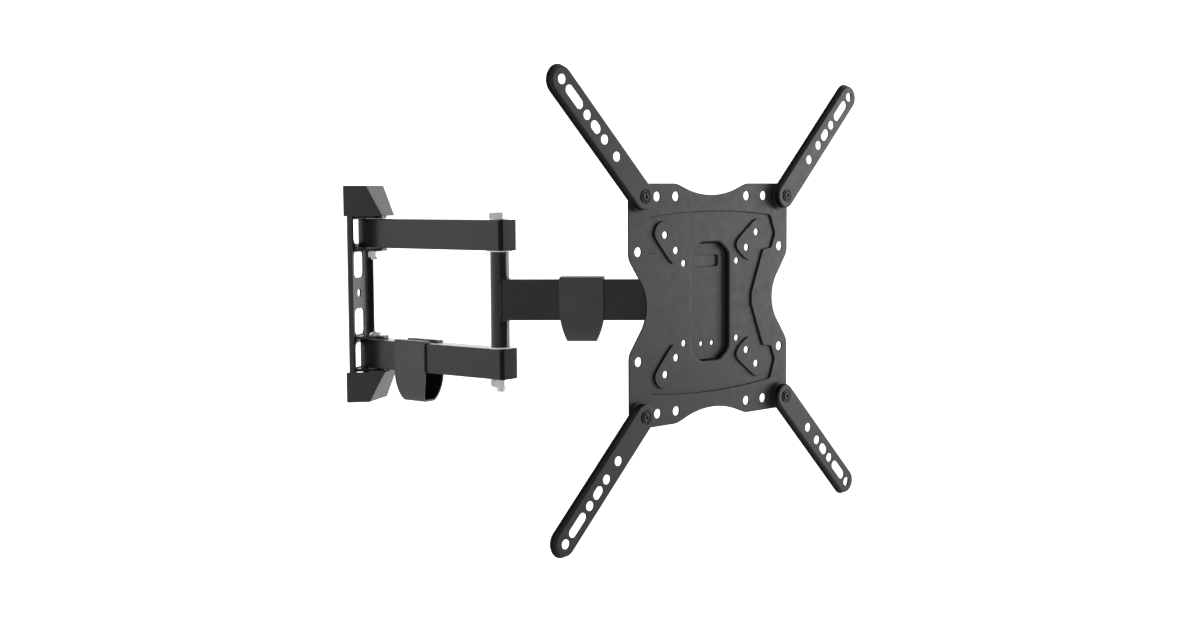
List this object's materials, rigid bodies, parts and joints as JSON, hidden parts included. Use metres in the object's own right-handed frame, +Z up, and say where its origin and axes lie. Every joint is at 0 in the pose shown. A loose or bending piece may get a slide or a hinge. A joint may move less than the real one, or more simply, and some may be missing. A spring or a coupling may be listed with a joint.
{
  "type": "full motion tv wall mount",
  "caption": "Black steel TV wall mount: channel wall plate with end covers, a pair of hinged arms, a forearm, and a swivelling, tilting screen plate with four hinged extension arms.",
  "frame": {"origin": "middle of the wall plate's back face, at the wall, level with the arms' middle", "axes": "+Z up, +Y into the wall, so the screen side is -Y; +X to the right as seen by someone facing the wall"},
  "size_m": [0.3669, 0.5067, 0.4266],
  "materials": {
    "plate_paint": "satin",
    "arm_paint": "semi-gloss",
    "black_plastic": "satin",
    "black_screw": "satin",
    "black_nylon": "matte",
    "white_nylon": "satin",
    "zinc": "zinc plated"
  },
  "bodies": {
    "wall_side": {"wall_plate": "plate_paint", "upper_top_ear": "plate_paint", "upper_bottom_ear": "plate_paint", "lower_top_ear": "plate_paint", "lower_bottom_ear": "plate_paint", "top_cover": "black_plastic", "bottom_cover": "black_plastic", "upper_pivot_bolt": "zinc", "lower_pivot_bolt": "zinc", "upper_pivot_nut": "zinc", "lower_pivot_nut": "zinc", "upper_pivot_washers": "white_nylon", "lower_pivot_washers": "white_nylon"},
    "first_arms": {"upper_arm_tube": "arm_paint", "lower_arm_tube": "arm_paint", "upper_arm_knuckle": "arm_paint", "lower_arm_knuckle": "arm_paint", "upper_arm_cap": "black_plastic", "lower_arm_cap": "black_plastic", "upper_elbow_bushing": "zinc", "lower_elbow_bushing": "zinc", "lower_cable_clip": "black_plastic", "elbow_bolt": "zinc", "elbow_nut": "zinc", "elbow_head_washer": "zinc", "elbow_upper_bearing": "white_nylon", "elbow_lower_bearing": "white_nylon"},
    "forearm": {"elbow_sleeve": "arm_paint", "forearm_tube": "arm_paint", "head_barrel": "arm_paint", "forearm_cable_clip": "black_plastic"},
    "swivel_head": {"swivel_bracket": "plate_paint", "swivel_bolt": "zinc", "swivel_nut": "zinc", "swivel_washers": "white_nylon"},
    "tilt_head": {"tilt_bolt": "zinc", "tilt_nut": "zinc", "tilt_washers": "white_nylon", "tilt_bracket": "plate_paint", "tv_plate": "plate_paint", "corner_screw_ul": "black_screw", "corner_screw_ur": "black_screw", "corner_screw_ll": "black_screw", "corner_screw_lr": "black_screw", "corner_spacer_ul": "black_nylon", "corner_spacer_ur": "black_nylon", "corner_spacer_ll": "black_nylon", "corner_spacer_lr": "black_nylon", "corner_nut_ul": "black_screw", "corner_nut_ur": "black_screw", "corner_nut_ll": "black_screw", "corner_nut_lr": "black_screw"},
    "arm_ul": {"extension_arm_ul": "plate_paint"},
    "arm_ur": {"extension_arm_ur": "plate_paint"},
    "arm_ll": {"extension_arm_ll": "plate_paint"},
    "arm_lr": {"extension_arm_lr": "plate_paint"}
  },
  "joints": [
    {"name": "wall_swivel", "type": "hinge", "parent": "wall_side", "child": "first_arms", "pos_m": [0, -0.0203, 0], "axis": [0, 0, 1], "range_deg": [-51, 76]},
    {"name": "elbow_swivel", "type": "hinge", "parent": "first_arms", "child": "forearm", "pos_m": [-0.06715, -0.18082, 0], "axis": [0, 0, -1], "range_deg": [-86, 94]},
    {"name": "head_swivel", "type": "hinge", "parent": "forearm", "child": "swivel_head", "pos_m": [-0.03305, -0.35145, 0], "axis": [0, 0, 1], "range_deg": [-42, 127]},
    {"name": "tilt", "type": "hinge", "parent": "swivel_head", "child": "tilt_head", "pos_m": [-0.04338, -0.36857, 0], "axis": [0.8563, -0.5165, 0], "range_deg": [-5, 15]},
    {"name": "extension_arm_ul_pivot", "type": "hinge", "parent": "tilt_head", "child": "arm_ul", "pos_m": [-0.14451, -0.34261, 0.1], "axis": [-0.5165, -0.8563, 0], "range_deg": [-45, 45]},
    {"name": "extension_arm_ur_pivot", "type": "hinge", "parent": "tilt_head", "child": "arm_ur", "pos_m": [0.02675, -0.44592, 0.1], "axis": [0.5165, 0.8563, 0], "range_deg": [-45, 45]},
    {"name": "extension_arm_ll_pivot", "type": "hinge", "parent": "tilt_head", "child": "arm_ll", "pos_m": [-0.14451, -0.34261, -0.1], "axis": [0.5165, 0.8563, 0], "range_deg": [-45, 45]},
    {"name": "extension_arm_lr_pivot", "type": "hinge", "parent": "tilt_head", "child": "arm_lr", "pos_m": [0.02675, -0.44592, -0.1], "axis": [-0.5165, -0.8563, 0], "range_deg": [-45, 45]}
  ]
}
